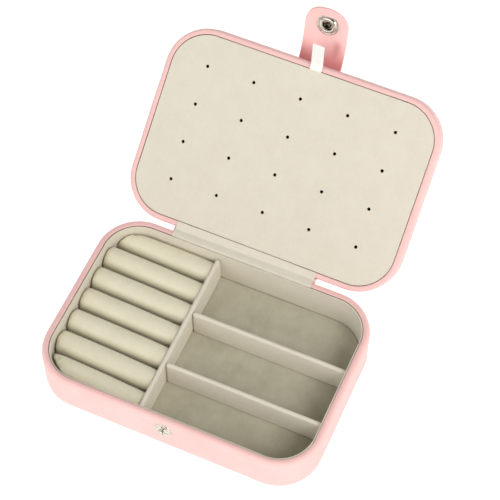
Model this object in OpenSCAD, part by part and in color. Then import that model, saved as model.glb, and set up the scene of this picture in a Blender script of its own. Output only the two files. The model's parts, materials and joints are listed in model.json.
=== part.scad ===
// Travel jewelry case: a shallow two-part box in leather and velvet with a snap strap.
// X runs along the width, the front is at -Y, the hinge at +Y, and Z = 0 is the underside.
// The lid stands open at lid_open degrees from closed.

/* [Case] */
// Width of the case, left to right
case_w = 165; // [150:1:180]
// Depth of the case, front to back
case_d = 113.5; // [105:0.5:124]
// Outside radius of the four corners in plan
corner_r = 25; // [24:1:32]
// Height of the base, underside to rim
base_h = 28.3; // [27:0.1:34]
// Height of the lid, rim to top
lid_h = 15; // [14:0.5:18]
// How far the lid stands open, in degrees from closed
lid_open = 141; // [120:0.5:170]
// Gap between the two rims when the case is closed
rim_gap = 1; // [0.8:0.1:1.6]
// Distance of the hinge line behind the back wall
hinge_out = 1; // [1:0.1:1.8]

/* [Shell] */
// Thickness of the outer leather
skin_t = 0.8; // [0.6:0.1:1]
// Width of the base rim
base_rim = 3.9; // [3.9:0.1:5]
// Width of the lid rim
lid_rim = 3.4; // [2.8:0.1:3.5]
// Radius of the base's lower edge
base_edge_r = 3; // [2:0.5:4]
// Radius of the lid's upper edge
lid_edge_r = 3; // [3:0.5:5]
// Radius of the rims' outer edges
rim_edge_r = 1.6; // [1.2:0.1:1.9]

/* [Inside] */
// Depth from the base rim to the tops of the dividers
divider_drop = 4; // [3:0.1:6]
// Thickness of a velvet-wrapped divider
divider_t = 2.6; // [2.2:0.1:3.2]
// Place of the long divider, left or right of the middle
long_divider_x = -16; // [-30:0.5:0]
// Place of the rear cross divider
rear_divider_y = 13.5; // [8:0.5:20]
// Place of the front cross divider
front_divider_y = -21.5; // [-28:0.5:-15]
// Radius of a ring roll
roll_r = 7.3; // [6:0.1:7.4]
// Spacing of the ring rolls, front to back
roll_pitch = 15.1; // [15:0.1:15.4]
// Height of the rolls' middles above the underside
roll_z = 15.9; // [15:0.1:17]

/* [Earring panel] */
// Columns of earring holes
hole_columns = 5; // [3:1:5]
// Rows of earring holes
hole_rows = 4; // [3:1:4]
// Spacing of the columns
hole_dx = 28.5; // [20:0.1:29]
// Spacing of the rows
hole_dy = 22.5; // [16:0.1:23]
// Diameter of an earring hole
hole_d = 1.7; // [1.4:0.1:2.4]
// Length of the pull ribbon outside the panel
ribbon_l = 19.2; // [12:0.1:20]
// Width of the pull ribbon
ribbon_w = 7; // [5:0.1:10]

/* [Closure] */
// Width of the closure strap
strap_w = 25.5; // [20:0.5:30]
// Distance of the snap beyond the lid's front edge, lid open
snap_reach = 23.1; // [20:0.1:24]
// Distance of the snap below the strap's fold, lid open
snap_drop = 11.5; // [8:0.1:12]
// Distance of the strap's middle from the front wall when fastened
snap_standoff = 3.3; // [3.2:0.1:3.6]
// Outside diameter of the snap socket
socket_d = 12.5; // [11:0.1:14]
// Diameter of the snap stud's head
stud_d = 4.2; // [3.6:0.1:4.4]

/* [Hidden] */
$fn = 64;

// Colours
pink = [0.96, 0.80, 0.76];
deep_pink = [0.86, 0.62, 0.58];
velvet = [0.84, 0.81, 0.73];
dark_velvet = [0.66, 0.63, 0.56];
grey_board = [0.62, 0.60, 0.56];
foam = [0.93, 0.92, 0.88];
satin = [0.97, 0.97, 0.95];
nickel = [0.75, 0.74, 0.72];

// Base, in layers from the underside up
glue = 0.05;                                 // glue line between two layers
cover_t = 0.6;                               // bottom cover
floor_z = cover_t + skin_t;                  // underside of the floor board
floor_t = 2;
card_z = floor_z + floor_t;                  // underside of the velvet floor card
card_t = 1;
inside_z = card_z + card_t;                  // velvet floor
turn_under = 11;                             // leather turned under the base
turn_in = 4;                                 // leather turned down inside the rim
board_in = base_rim - skin_t - glue;         // inset of the wall board's inner face
liner_out = base_rim + 0.1;                  // inset of the wall liner's outer face
liner_t = 0.6;
liner_drop = 0.6;                            // velvet edge below the rim
inside_inset = liner_out + liner_t;          // inset of the velvet walls
inside_x = case_w / 2 - inside_inset;
inside_y = case_d / 2 - inside_inset;
divider_top = base_h - divider_drop;
fit_gap = 0.3;                               // clearance of a loose part

// Ring rolls
roll_count = 7;
roll_y0 = 0.3;                               // middle of the middle roll
ring_card_z = 9.2;
ring_card_t = 1.2;
roll_right = long_divider_x - divider_t / 2 - 0.2;

// Hinge line and lid
hinge_y = case_d / 2 + hinge_out;
hinge_z = base_h + rim_gap / 2;
lid_z = base_h + rim_gap;                    // lid rim when closed
hinge_middle = -3;
hinge_w = 88;
lid_board_in = lid_rim - skin_t - glue;
lid_pad_t = 1.5;
lid_board_t = 1.8;
lid_lining_t = 0.7;
pad_w = lid_h - skin_t - lid_pad_t;          // height in the lid, from its rim
lid_board_w = pad_w - lid_board_t;
lining_w = lid_board_w - lid_lining_t;
ledge_t = 1.5;                               // ledge that the earring panel closes against

// Earring panel, by height in the lid from its rim
panel_inset = lid_rim + 0.45;
panel_w0 = 0.1;
panel_w1 = 1.9;
velvet_t = 0.6;
hole_x0 = -0.85;                             // middle of the hole pattern
hole_v0 = 58.5;                              // the same, from the lid's back edge
ribbon_t = 0.4;
ribbon_x = 2.3;
ribbon_v = case_d - lid_rim - 0.35;          // where the ribbon leaves the seam
ribbon_root_w = -0.3;
ribbon_lean = 42;                            // out of the lid's plane

// Closure strap, by distance beyond the lid's front edge and height in the lid
layer_t = 0.8;
fold_w = lid_h + layer_t;                    // height of the fold line, mid-thickness
snap_chord = sqrt(snap_reach * snap_reach + snap_drop * snap_drop);
chord_open = atan2(snap_drop, snap_reach);
chord_shut = acos(snap_standoff / snap_chord);
strap_turn = 90 - chord_shut;                // half of the strap's bend up to the snap
strap_r = snap_chord / 2 / sin(strap_turn);
start_tilt = chord_open - strap_turn;
fold_clear = 1.2;                            // strap left free beside the fold line
strap_end_r = strap_w / 2;
snap_hole_d = 5.4;
barrel_d = 6.4;
stud_z = lid_z + fold_w - sqrt(snap_chord * snap_chord - snap_standoff * snap_standoff);
stud_l = 3;                                  // how far the stud stands out of the wall
stud_flange_d = 10.6;
stud_flange_t = 0.5;
stud_neck_d = 3.4;
shank_d = 3;
socket_t = 1.3;
socket_well_d = socket_d - 3.6;              // shallow well round the socket's hole
cap_t = 1;

// ---------- helpers ----------

// Rounded rectangle in plan, inset from the case's outline, with true arcs.
module outline(inset) {
    w = case_w - 2 * inset;
    d = case_d - 2 * inset;
    r = corner_r - inset;
    square([w, d - 2 * r], center = true);
    square([w - 2 * r, d], center = true);
    for (x = [-1, 1], y = [-1, 1])
        translate([x * (w / 2 - r), y * (d / 2 - r)]) circle(r = r);
}

module slab(inset, z0, z1) {
    translate([0, 0, z0]) linear_extrude(z1 - z0) outline(inset);
}

// Band between two insets of the case's outline.
module band(outer, inner, z0, z1) {
    translate([0, 0, z0]) linear_extrude(z1 - z0) difference() {
        outline(outer);
        outline(inner);
    }
}

// Carries a profile (inset, height) once around the case's outline.
module around() {
    for (a = [0, 180]) rotate(a) {
        translate([case_w / 2 - corner_r, case_d / 2 - corner_r])
            rotate_extrude(angle = 90) translate([corner_r, 0]) mirror([1, 0]) children();
        translate([corner_r - case_w / 2, case_d / 2 - corner_r]) rotate(90)
            rotate_extrude(angle = 90) translate([corner_r, 0]) mirror([1, 0]) children();
        rotate([90, 0, 90]) linear_extrude(case_w - 2 * corner_r, center = true)
            translate([case_d / 2, 0]) mirror([1, 0]) children();
        rotate([90, 0, 0]) linear_extrude(case_d - 2 * corner_r, center = true)
            translate([case_w / 2, 0]) mirror([1, 0]) children();
    }
}

// What a rounding takes off a corner at (x, z); sx and sz point into the material.
module corner_cut(x, z, r, sx, sz) {
    translate([x, z]) scale([sx, sz]) difference() {
        translate([-1, -1]) square(r + 1);
        translate([r, r]) circle(r = r);
    }
}

module lid_place() {
    translate([0, hinge_y, hinge_z]) rotate([-lid_open, 0, 0])
        translate([0, -hinge_y, lid_z - hinge_z]) children();
}

// A point's place in Y and Z when the lid stands open: v from the lid's back, w up from its rim.
function open_yz(v, w) = let (y = -hinge_out - v, z = rim_gap / 2 + w)
    [hinge_y + y * cos(lid_open) + z * sin(lid_open), hinge_z - y * sin(lid_open) + z * cos(lid_open)];

// Strap frame: origin on the fold line, +Y forward along the lid, +Z towards the lid's outside.
module strap_place() {
    lid_place() translate([0, -case_d / 2, fold_w]) children();
}

// Frame at the snap: +Z is the strap's inner side.
module snap_place() {
    strap_place() rotate([chord_open, 0, 0]) translate([0, -snap_chord, 0])
        rotate([strap_turn, 0, 0]) rotate([180, 0, 0]) children();
}

// A cylinder across the strap, about the middle of the strap's bend.
module bend_cylinder(r) {
    strap_place() rotate([start_tilt, 0, 0]) translate([0, 0, -strap_r]) rotate([0, 90, 0])
        cylinder(r = r, h = strap_w + 4, center = true, $fn = 256);
}

// One layer of the strap, a curved sheet between two radii with a round end.
module strap_layer(r0, r1, bore) {
    difference() {
        intersection() {
            strap_place() rotate([chord_open, 0, 0]) translate([0, 0, -8]) linear_extrude(16) {
                translate([-strap_w / 2, -snap_chord])
                    square([strap_w, snap_chord - fold_clear]);
                translate([0, -snap_chord]) circle(r = strap_end_r);
            }
            bend_cylinder(r1);
        }
        bend_cylinder(r0);
        snap_place() cylinder(d = bore, h = 10, center = true);
    }
}

// Hole for the stud's shank through the front wall.
module shank_hole() {
    translate([0, -case_d / 2, stud_z]) rotate([90, 0, 0])
        cylinder(d = shank_d + 0.2, h = 14, center = true);
}

// ---------- base ----------

module base_floor() {
    color(grey_board) slab(base_rim - skin_t + glue, floor_z, card_z);
}

module wall_section() {
    outer = skin_t + glue;
    difference() {
        translate([outer, floor_z]) square([board_in - outer, base_h - skin_t - glue - floor_z]);
        corner_cut(outer, floor_z, base_edge_r - outer, 1, 1);
        corner_cut(outer, base_h - skin_t - glue, rim_edge_r - skin_t, 1, -1);
    }
}

module base_wall() {
    color(grey_board) difference() {
        around() wall_section();
        shank_hole();
    }
}

module base_skin_section() {
    difference() {
        union() {
            translate([0, cover_t]) square([base_rim, base_h - cover_t]);
            translate([0, cover_t]) square([turn_under, skin_t]);
        }
        corner_cut(0, base_h, rim_edge_r, 1, -1);
        corner_cut(base_rim, base_h, skin_t, -1, -1);
        corner_cut(0, cover_t, base_edge_r, 1, 1);
        difference() {
            translate([skin_t, floor_z])
                square([base_rim - 2 * skin_t, base_h - skin_t - floor_z]);
            corner_cut(skin_t, floor_z, base_edge_r - skin_t, 1, 1);
            corner_cut(skin_t, base_h - skin_t, rim_edge_r - skin_t, 1, -1);
        }
        translate([base_rim - skin_t - glue, floor_z])
            square([base_rim, base_h - turn_in - floor_z]);
    }
}

module base_skin() {
    color(pink) difference() {
        around() base_skin_section();
        shank_hole();
    }
}

module base_bottom_cover() {
    color(pink) slab(base_edge_r + 1, 0, cover_t);
}

module wall_liner() {
    color(velvet) band(liner_out, inside_inset, card_z, base_h - liner_drop);
}

module inside_box(x0, x1, z0, z1) {
    intersection() {
        slab(inside_inset + 0.15, z0, z1);
        translate([x0, -case_d / 2, z0]) cube([x1 - x0, case_d, z1 - z0]);
    }
}

module floor_card() {
    color(dark_velvet) slab(inside_inset + 0.1, card_z, inside_z);
}

module ring_block() {
    color(foam) inside_box(-case_w / 2, roll_right, inside_z, ring_card_z);
}

module ring_card() {
    color(dark_velvet) inside_box(-case_w / 2, roll_right, ring_card_z, ring_card_z + ring_card_t);
}

// Ring rolls are numbered from the back to the front.
module ring_roll(n) {
    y = roll_y0 + roll_pitch * ((roll_count + 1) / 2 - n);
    color(velvet) intersection() {
        slab(inside_inset + 0.4, ring_card_z + ring_card_t, base_h);
        translate([-case_w / 2, y, roll_z]) rotate([0, 90, 0])
            cylinder(r = roll_r, h = roll_right + case_w / 2);
    }
}

// A divider along X, from x0 to x1, with a rounded top.
module divider(x0, x1, z0) {
    r = divider_t / 2;
    translate([x0, -r, z0]) cube([x1 - x0, divider_t, divider_top - r - z0]);
    translate([x0, 0, divider_top - r]) rotate([0, 90, 0]) cylinder(r = r, h = x1 - x0);
}

module long_divider() {
    color(velvet) translate([long_divider_x, 0, 0]) rotate(90)
        divider(0.2 - inside_y, inside_y - 0.2, inside_z);
}

module cross_divider(y) {
    color(velvet) translate([0, y, 0])
        divider(long_divider_x + divider_t / 2 + fit_gap, inside_x - fit_gap, inside_z);
}

module snap_stud() {
    head_z = stud_l - stud_d / 2 + 0.4;
    color(nickel) translate([0, -case_d / 2, stud_z]) rotate([90, 0, 0]) {
        cylinder(d = stud_flange_d, h = stud_flange_t);
        cylinder(d = stud_neck_d, h = stud_l - 0.8);
        intersection() {
            translate([0, 0, head_z]) sphere(d = stud_d);
            cylinder(d = stud_d, h = stud_l);
        }
        translate([0, 0, -liner_out + 0.1]) cylinder(d = shank_d, h = liner_out);
    }
}

module stud_backing() {
    washer_d = 8;
    washer_t = 0.8;
    color(nickel) translate([0, -case_d / 2 + board_in + glue, stud_z]) rotate([-90, 0, 0])
        difference() {
            cylinder(d = washer_d, h = washer_t);
            translate([0, 0, -1]) cylinder(d = shank_d + 0.1, h = washer_t + 2);
        }
}

// ---------- hinge ----------

module across(x_middle, width) {
    translate([x_middle - width / 2, 0, 0]) rotate([90, 0, 90]) linear_extrude(width) children();
}

// Leather web between the two back walls, drawn as it lies with the lid open.
module hinge_leather() {
    t = 0.7;
    back = case_d / 2 + glue;
    drop = 8;
    color(pink) across(hinge_middle, hinge_w) polygon([
        [back, base_h - drop],
        [back, base_h - 1],
        [back + 0.3, base_h - 0.2],
        open_yz(-glue, 0.6),
        open_yz(-glue, drop),
        open_yz(-glue - t, drop),
        open_yz(-glue - t, 1.4),
        [back + t, base_h - 1.2],
        [back + t, base_h - drop]
    ]);
}

// Velvet strip over both rims at the hinge, drawn as it lies with the lid open.
module hinge_lining() {
    t = 0.5;
    front = case_d / 2 - base_rim + 0.1;
    low = base_h + 0.03;
    color(velvet) across(hinge_middle, hinge_w - 2) polygon([
        [front, low],
        [case_d / 2 + 0.1, low],
        [hinge_y, base_h - 0.05],
        open_yz(0.2, -0.05),
        open_yz(lid_rim - 0.1, -0.05),
        open_yz(lid_rim - 0.1, -0.05 - t),
        open_yz(0.5, -0.05 - t),
        [hinge_y, base_h + t - 0.1],
        [case_d / 2 - 0.4, low + t],
        [front, low + t]
    ]);
}

// ---------- lid, drawn closed and swung open ----------

module lid_top() {
    color(grey_board) lid_place() slab(lid_rim - skin_t + glue, lid_board_w, pad_w);
}

module lid_wall_section() {
    outer = skin_t + glue;
    top = lid_h - skin_t - glue;
    difference() {
        translate([outer, outer]) square([lid_board_in - outer, top - outer]);
        corner_cut(outer, top, lid_edge_r - outer, 1, -1);
        corner_cut(outer, outer, rim_edge_r - skin_t, 1, 1);
    }
}

module lid_wall() {
    color(grey_board) lid_place() around() lid_wall_section();
}

module lid_skin_section() {
    difference() {
        union() {
            square([lid_rim, lid_h]);
            translate([0, lid_h - skin_t]) square([lid_edge_r + 2, skin_t]);
            translate([0, lid_h - lid_edge_r]) square([lid_edge_r, lid_edge_r]);
        }
        corner_cut(0, 0, rim_edge_r, 1, 1);
        corner_cut(lid_rim, 0, skin_t, -1, 1);
        corner_cut(0, lid_h, lid_edge_r, 1, -1);
        difference() {
            translate([skin_t, skin_t]) square([lid_edge_r, lid_h - 2 * skin_t]);
            corner_cut(skin_t, skin_t, rim_edge_r - skin_t, 1, 1);
            corner_cut(skin_t, lid_h - skin_t, lid_edge_r - skin_t, 1, -1);
            translate([lid_rim - skin_t, 0]) square([skin_t, 2]);
        }
    }
}

module lid_skin() {
    color(pink) lid_place() {
        around() lid_skin_section();
        slab(lid_edge_r + 1, lid_h - skin_t, lid_h);
    }
}

module lid_pad() {
    color(foam) lid_place() slab(lid_edge_r, pad_w, lid_h - skin_t - glue);
}

module lid_liner() {
    color(dark_velvet) lid_place() difference() {
        slab(lid_rim + 0.1, panel_w1 + 0.35, lid_board_w);
        translate([0, 0, -1]) slab(lid_rim + 0.1 + ledge_t, 0, lining_w + 1);
    }
}

module strap_root() {
    length = 24;
    start = 0.3;
    end_r = 4;
    color(pink) strap_place() difference() {
        translate([-strap_w / 2, start, glue - layer_t])
            cube([strap_w, length, 2 * layer_t - glue]);
        for (s = [-1, 1]) translate([s * strap_w / 2, start + length, -2]) linear_extrude(4)
            corner_cut(0, 0, end_r, -s, -1);
    }
}

// ---------- earring panel ----------

module hole_pattern(d) {
    for (i = [0 : hole_columns - 1], j = [0 : hole_rows - 1])
        translate([
            hole_x0 + (i - (hole_columns - 1) / 2) * hole_dx,
            case_d / 2 - hole_v0 + (j - (hole_rows - 1) / 2) * hole_dy,
            -1
        ]) cylinder(d = d, h = 5);
}

module earring_panel() {
    color(velvet) lid_place() difference() {
        slab(panel_inset, panel_w0, panel_w1);
        slab(panel_inset + 0.5, panel_w0 + velvet_t, panel_w1 + 1);
        hole_pattern(hole_d);
    }
}

module panel_board() {
    color(grey_board) lid_place() difference() {
        slab(panel_inset + 0.5 + glue, panel_w0 + velvet_t + glue, panel_w1);
        hole_pattern(hole_d + 0.3);
    }
}

module panel_tape() {
    tape_w = 120;
    tape_t = 0.25;
    reach = 14;
    color(dark_velvet) lid_place() translate([-tape_w / 2, case_d / 2 - reach, panel_w1 + 0.04])
        cube([tape_w, reach - lid_rim - 0.8, tape_t]);
}

module pull_ribbon() {
    color(satin) lid_place() translate([ribbon_x, case_d / 2 - ribbon_v, ribbon_root_w])
        rotate([ribbon_lean, 0, 0]) translate([-ribbon_w / 2, -ribbon_l, -ribbon_t / 2])
            cube([ribbon_w, ribbon_l, ribbon_t]);
}

// ---------- closure ----------

module closure_strap() {
    color(pink) strap_layer(strap_r + glue / 2, strap_r + layer_t, barrel_d + 0.2);
}

module strap_lining() {
    color(deep_pink) strap_layer(strap_r - layer_t, strap_r - glue / 2, barrel_d + 0.2);
}

module snap_socket() {
    color(nickel) snap_place() translate([0, 0, layer_t + 0.35]) difference() {
        cylinder(d = socket_d, h = socket_t);
        translate([0, 0, -1]) cylinder(d = snap_hole_d, h = socket_t + 2);
        translate([0, 0, socket_t - 0.4]) cylinder(d = socket_well_d, h = 1);
    }
}

module snap_cap() {
    color(nickel) snap_place() {
        translate([0, 0, -layer_t - 0.1 - cap_t]) cylinder(d = socket_d - 0.5, h = cap_t);
        translate([0, 0, -layer_t - 0.2]) difference() {
            cylinder(d = barrel_d, h = 2 * layer_t + 0.25);
            translate([0, 0, 0.1]) cylinder(d = barrel_d - 0.8, h = 4);
        }
    }
}

base_floor();
base_wall();
base_skin();
base_bottom_cover();
wall_liner();
floor_card();
ring_block();
ring_card();
ring_roll(1);  // ring_roll_1
ring_roll(2);  // ring_roll_2
ring_roll(3);  // ring_roll_3
ring_roll(4);  // ring_roll_4
ring_roll(5);  // ring_roll_5
ring_roll(6);  // ring_roll_6
ring_roll(7);  // ring_roll_7
long_divider();
cross_divider(rear_divider_y);  // cross_divider_rear
cross_divider(front_divider_y);  // cross_divider_front
snap_stud();
stud_backing();
hinge_leather();
hinge_lining();
lid_top();
lid_wall();
lid_skin();
lid_pad();
lid_liner();
strap_root();
earring_panel();
panel_board();
panel_tape();
pull_ribbon();
closure_strap();
strap_lining();
snap_socket();
snap_cap();
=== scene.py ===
"""Looks of the travel jewelry case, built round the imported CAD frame. Shapes are in millimetres."""

import json
import math

import bmesh
import bpy
import numpy as np
from mathutils import Matrix, Vector, noise


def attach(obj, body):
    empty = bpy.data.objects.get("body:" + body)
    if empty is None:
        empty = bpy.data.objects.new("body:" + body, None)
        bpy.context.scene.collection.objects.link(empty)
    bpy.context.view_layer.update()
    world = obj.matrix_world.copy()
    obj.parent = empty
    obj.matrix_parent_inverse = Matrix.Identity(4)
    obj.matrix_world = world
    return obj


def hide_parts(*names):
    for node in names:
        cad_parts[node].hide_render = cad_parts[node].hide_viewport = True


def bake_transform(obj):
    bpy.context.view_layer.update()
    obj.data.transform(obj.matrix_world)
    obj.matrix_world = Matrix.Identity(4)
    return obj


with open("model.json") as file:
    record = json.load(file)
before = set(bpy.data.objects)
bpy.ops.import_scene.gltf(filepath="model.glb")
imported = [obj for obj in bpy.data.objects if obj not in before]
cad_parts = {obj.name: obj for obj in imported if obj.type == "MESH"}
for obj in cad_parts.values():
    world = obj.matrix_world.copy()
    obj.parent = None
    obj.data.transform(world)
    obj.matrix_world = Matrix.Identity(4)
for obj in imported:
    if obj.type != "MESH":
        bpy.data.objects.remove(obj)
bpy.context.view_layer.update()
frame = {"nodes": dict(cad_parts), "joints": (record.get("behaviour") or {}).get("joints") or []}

MM = 0.001

# ---------- sizes, from the frame ----------


def points_of(obj, place=None):
    """An object's points in millimetres, in the frame that place carries into the row frame."""
    co = np.array([v.co for v in obj.data.vertices], float) / MM
    if place is None:
        return co
    back = np.array(place.inverted())
    return co @ back[:3, :3].T + back[:3, 3]


def node_box(node, place=None):
    """The lowest and highest corner of a CAD node's box in that frame."""
    points = points_of(frame["nodes"][node], place)
    return Vector(points.min(0)), Vector(points.max(0))


def joint(name):
    return next(j for j in frame["joints"] if j["name"] == name)


skin_low, skin_high = node_box("base_skin")
CASE_W = skin_high.x - skin_low.x
CASE_D = -2 * skin_low.y
BASE_H = skin_high.z
CORNER_R = 25
CASE_STEP = 5
CASE_CORNER_STEPS = 20
HINGE_Y, HINGE_Z = (c / MM for c in joint("lid_hinge")["pos_m"][1:])
LID_OPEN = -joint("lid_hinge")["range_deg"][0]
RIM_GAP = 2 * (HINGE_Z - BASE_H)
SKIN_T = 0.8
BASE_RIM = 3.9
LID_RIM = 3.4

# The lid is drawn closed, with its rim at height 0, and swung open by this matrix.
LID = (
    Matrix.Translation((0, HINGE_Y, HINGE_Z))
    @ Matrix.Rotation(math.radians(-LID_OPEN), 4, "X")
    @ Matrix.Translation((0, -HINGE_Y, RIM_GAP / 2))
)
LID_H = node_box("lid_skin", LID)[1].z

# The strap's frame lies on its fold line: +Y runs back along the lid, +Z out of its top.
STRAP_LAYER = 0.8
STRAP = LID @ Matrix.Translation((0, -CASE_D / 2, LID_H + STRAP_LAYER))
STRAP_W = 25.5
SNAP_REACH = 23.1
SNAP_DROP = 11.5
SNAP_STANDOFF = 3.3
SNAP_CHORD = math.hypot(SNAP_REACH, SNAP_DROP)
CHORD_OPEN = math.atan2(SNAP_DROP, SNAP_REACH)
STRAP_TURN = math.asin(SNAP_STANDOFF / SNAP_CHORD)
SNAP = (
    STRAP
    @ Matrix.Rotation(CHORD_OPEN, 4, "X")
    @ Matrix.Translation((0, -SNAP_CHORD, 0))
    @ Matrix.Rotation(STRAP_TURN + math.pi, 4, "X")
)

# ---------- curves and profiles ----------


def fillet(corners, steps=6, closed=True):
    """Points of a polygon whose corners (u, v, radius) are rounded by arcs."""
    points = []
    last = len(corners) - 1
    for i, (u, v, r) in enumerate(corners):
        p = np.array((u, v), float)
        if r <= 0 or (not closed and i in (0, last)):
            points.append(p)
            continue
        before = np.array(corners[i - 1][:2], float) - p
        after = np.array(corners[(i + 1) % len(corners)][:2], float) - p
        before /= np.linalg.norm(before)
        after /= np.linalg.norm(after)
        half = math.acos(np.clip(before @ after, -1, 1)) / 2
        middle = before + after
        centre = p + middle / np.linalg.norm(middle) * r / math.sin(half)
        start = p + before * r / math.tan(half) - centre
        end = p + after * r / math.tan(half) - centre
        turn = math.atan2(start[0] * end[1] - start[1] * end[0], start @ end)
        for k in range(steps + 1):
            a = turn * k / steps
            spin = np.array(((math.cos(a), -math.sin(a)), (math.sin(a), math.cos(a))))
            points.append(centre + spin @ start)
    return points


def refine(points, step, closed=True):
    """The same polyline with no stretch longer than step."""
    result = []
    ends = points[1:] + points[:1] if closed else points[1:]
    for p, q in zip(points, ends):
        count = max(1, math.ceil(np.linalg.norm(q - p) / step))
        result += [p + (q - p) * k / count for k in range(count)]
    return result if closed else result + [points[-1]]


def rounded_ring(half_w, half_h, radii, side_counts, corner_steps):
    """Points round a rectangle with rounded corners, anticlockwise from the upper right corner.
    side_counts are the stretches on a level and on an upright side."""
    arcs = []
    for quarter, ((sx, sy), r) in enumerate(zip(((1, 1), (-1, 1), (-1, -1), (1, -1)), radii)):
        arc = []
        for k in range(corner_steps + 1):
            a = math.radians(90 * quarter + 90 * k / corner_steps)
            x = sx * (half_w - r) + r * math.cos(a)
            y = sy * (half_h - r) + r * math.sin(a)
            arc.append(np.array((x, y)))
        arcs.append(arc)
    points = []
    for quarter, arc in enumerate(arcs):
        p, q = arc[-1], arcs[(quarter + 1) % 4][0]
        count = side_counts[quarter % 2]
        points += arc + [p + (q - p) * k / count for k in range(1, count)]
    return np.array(points)


def case_outline(inset):
    """The case's outline in plan, moved in by inset, with as many points at any inset."""
    straights = (2 * (CASE_W / 2 - CORNER_R), 2 * (CASE_D / 2 - CORNER_R))
    counts = [math.ceil(straight / CASE_STEP) for straight in straights]
    halves = (CASE_W / 2 - inset, CASE_D / 2 - inset)
    return rounded_ring(*halves, (CORNER_R - inset,) * 4, counts, CASE_CORNER_STEPS)


def case_core(points):
    """For each point of the outline, its place on the middle line that the outline shrinks to."""
    half = (CASE_W - CASE_D) / 2
    return np.column_stack((np.clip(points[:, 0], -half, half), np.zeros(len(points))))


def rounded_rect(width, height, radii, step, corner_steps):
    """A rounded rectangle as a ring for any inset, and the middle line that it shrinks to."""
    counts = [max(1, math.ceil(side / step)) for side in (width, height)]

    def ring(inset):
        inner = [max(radius - inset, 0.02) for radius in radii]
        return rounded_ring(width / 2 - inset, height / 2 - inset, inner, counts, corner_steps)

    def core(points):
        a, b = width / 2, height / 2
        if a >= b:
            x = np.clip(points[:, 0], b - a, a - b)
            return np.column_stack((x, np.zeros(len(points))))
        y = np.clip(points[:, 1], a - b, b - a)
        return np.column_stack((np.zeros(len(points)), y))

    return ring, core


class Path:
    """A curve in a plane, read by its length from the start."""

    def __init__(self, points):
        self.points = np.array(points, float)
        steps = np.diff(self.points, axis=0)
        lengths = np.linalg.norm(steps, axis=1)
        self.along = np.concatenate(((0,), np.cumsum(lengths)))
        self.middles = (self.along[1:] + self.along[:-1]) / 2
        self.angles = np.unwrap(np.arctan2(steps[:, 1], steps[:, 0]))
        self.length = self.along[-1]

    def carry(self, s, t):
        """Points at lengths s and distances t to the left of the curve."""
        angle = np.interp(s, self.middles, self.angles)
        u = np.interp(s, self.along, self.points[:, 0])
        v = np.interp(s, self.along, self.points[:, 1])
        over = np.clip(s - self.length, 0, None) + np.clip(s, None, 0)
        return (
            u + over * np.cos(angle) - t * np.sin(angle),
            v + over * np.sin(angle) + t * np.cos(angle),
        )


def bent_path(corners):
    """A path through corners (u, v, radius)."""
    return Path(refine(fillet(corners, steps=8, closed=False), 0.5, closed=False))


# ---------- meshes ----------


def add_object(name, data):
    obj = bpy.data.objects.new(name, data)
    bpy.context.scene.collection.objects.link(obj)
    return obj


def made_mesh(obj):
    """The mesh that an object's modifiers or its curve make."""
    depsgraph = bpy.context.evaluated_depsgraph_get()
    return bpy.data.meshes.new_from_object(obj.evaluated_get(depsgraph))


def apply_modifiers(obj):
    mesh = made_mesh(obj)
    obj.modifiers.clear()
    obj.data = mesh


def add_mesh(name, points, faces, place=None):
    """A smooth closed mesh in metres, from points in millimetres that place carries."""
    co = np.array(points, float)
    if place is not None:
        m = np.array(place)
        co = co @ m[:3, :3].T + m[:3, 3]
    mesh = bpy.data.meshes.new(name)
    mesh.from_pydata((co * MM).tolist(), [], faces)
    bm = bmesh.new()
    bm.from_mesh(mesh)
    bmesh.ops.remove_doubles(bm, verts=bm.verts, dist=1e-7)
    bmesh.ops.dissolve_degenerate(bm, edges=bm.edges, dist=1e-8)
    bmesh.ops.recalc_face_normals(bm, faces=bm.faces)
    for face in bm.faces:
        face.smooth = True
    bm.to_mesh(mesh)
    bm.free()
    return add_object(name, mesh)


def tube_faces(rings, size, closed=False):
    """Quads between rings of points, each of that size. Closed joins the last ring to the first."""
    faces = []
    for j in range(rings if closed else rings - 1):
        a, b = j * size, (j + 1) % rings * size
        for i in range(size):
            k = (i + 1) % size
            faces.append((a + i, a + k, b + k, b + i))
    return faces


def rod_faces(rings, size):
    """The same with a flat face at both ends."""
    ends = [tuple(range(size)), tuple(range((rings - 1) * size, rings * size))]
    return tube_faces(rings, size) + ends


def sweep(name, profile):
    """Carries a closed profile of (inset, height) round the case's outline."""
    points = [(x, y, height) for inset, height in profile for x, y in case_outline(inset)]
    size = len(case_outline(0))
    return add_mesh(name, points, tube_faces(len(profile), size, closed=True))


def stack(name, ring, core, levels, fractions, place=None, carry=None):
    """A closed solid of rings (inset, height). Both ends shrink by fractions to a core."""

    def face(inset, height):
        edge = ring(inset)
        return [(core(edge) * (1 - f) + edge * f, height) for f in fractions]

    rows = face(*levels[0])
    rows += [(ring(inset), height) for inset, height in levels]
    rows += reversed(face(*levels[-1]))
    points = np.array([(p[0], p[1], height) for row, height in rows for p in row])
    if carry is not None:
        points = carry(points)
    size = len(rows[0][0])
    return add_mesh(name, points, tube_faces(len(rows), size), place)


FACE_RINGS = (0, 0.15, 0.35, 0.55, 0.75, 0.9, 0.97)


def edge_levels(z0, z1, radius, steps=4):
    """Rings round an edge that is rounded above and below."""
    arc = [math.radians(90 * k / steps) for k in range(steps + 1)]
    low = [(radius * (1 - math.sin(a)), z0 + radius * (1 - math.cos(a))) for a in arc]
    high = [(radius * (1 - math.sin(a)), z1 - radius * (1 - math.cos(a))) for a in arc]
    return low + high[::-1]


def plate(name, outline, thickness, edge, carry=None, place=None, fractions=FACE_RINGS):
    """A flat sheet with rounded edges, between heights -thickness / 2 and +thickness / 2."""
    ring, core = outline
    levels = edge_levels(-thickness / 2, thickness / 2, edge)
    return stack(name, ring, core, levels, fractions, place, carry)


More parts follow.
